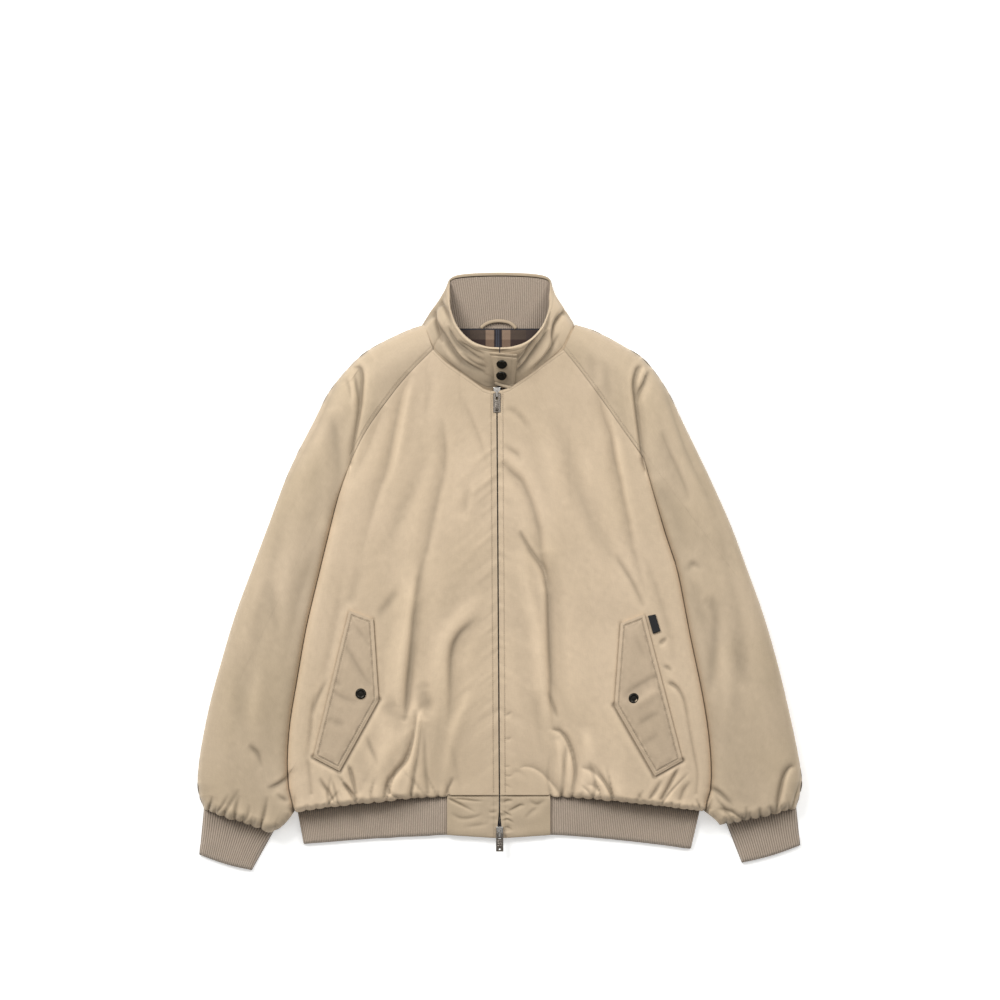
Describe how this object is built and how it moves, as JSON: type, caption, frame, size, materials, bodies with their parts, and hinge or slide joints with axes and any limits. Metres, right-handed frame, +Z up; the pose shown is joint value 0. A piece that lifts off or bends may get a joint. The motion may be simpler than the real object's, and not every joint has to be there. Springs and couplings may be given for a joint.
{
  "type": "padded zip jacket",
  "caption": "Padded blouson with raglan sleeves, stand collar, full zip, flap pockets and rib cuffs and hem, laid flat on its back.",
  "frame": {"origin": "middle of the jacket's footprint on the surface it lies on", "axes": "+Z up from the surface, +Y towards the collar, +X towards the wearer's left sleeve"},
  "size_m": [0.8478, 0.838, 0.0764],
  "materials": {
    "shell_cloth": "dense water-repellent cotton blend, khaki tan, faint sheen",
    "rib_knit": "ribbed wool-blend knit, taupe, matt",
    "check_lining": "brushed cotton in a plain dark check",
    "snap_metal": "dark gunmetal lacquer",
    "zip_metal": "nickel plated, bright",
    "pull_metal": "antique nickel, worn",
    "black_tape": "woven black tape, plain"
  },
  "bodies": {
    "jacket": {"front_right": "shell_cloth", "front_left": "shell_cloth", "back_panel": "shell_cloth", "sleeve_front_right": "shell_cloth", "sleeve_front_left": "shell_cloth", "sleeve_back_right": "shell_cloth", "sleeve_back_left": "shell_cloth", "collar_shell": "shell_cloth", "collar_tab": "shell_cloth", "hem_block_right": "shell_cloth", "hem_block_left": "shell_cloth", "pocket_flap_right": "shell_cloth", "pocket_flap_left": "shell_cloth", "hanger_loop": "shell_cloth", "collar_rib": "rib_knit", "hem_rib": "rib_knit", "cuff_right": "rib_knit", "cuff_left": "rib_knit", "neck_lining": "check_lining", "snap_collar_1": "snap_metal", "snap_collar_2": "snap_metal", "snap_pocket_right": "snap_metal", "snap_pocket_left": "snap_metal", "zip_chain": "zip_metal", "slider_top": "zip_metal", "slider_bottom": "zip_metal", "side_tag": "black_tape"},
    "pull_top": {"pull_top": "pull_metal"},
    "pull_bottom": {"pull_bottom": "pull_metal"}
  },
  "joints": [
    {"name": "pull_top_hinge", "type": "hinge", "parent": "jacket", "child": "pull_top", "pos_m": [-0.00397, 0.249, 0.0405], "axis": [-1, 0, 0], "range_deg": [0, 130]},
    {"name": "pull_bottom_hinge", "type": "hinge", "parent": "jacket", "child": "pull_bottom", "pos_m": [-0.00005, -0.366, 0.019], "axis": [-1, 0, 0], "range_deg": [0, 160]}
  ]
}
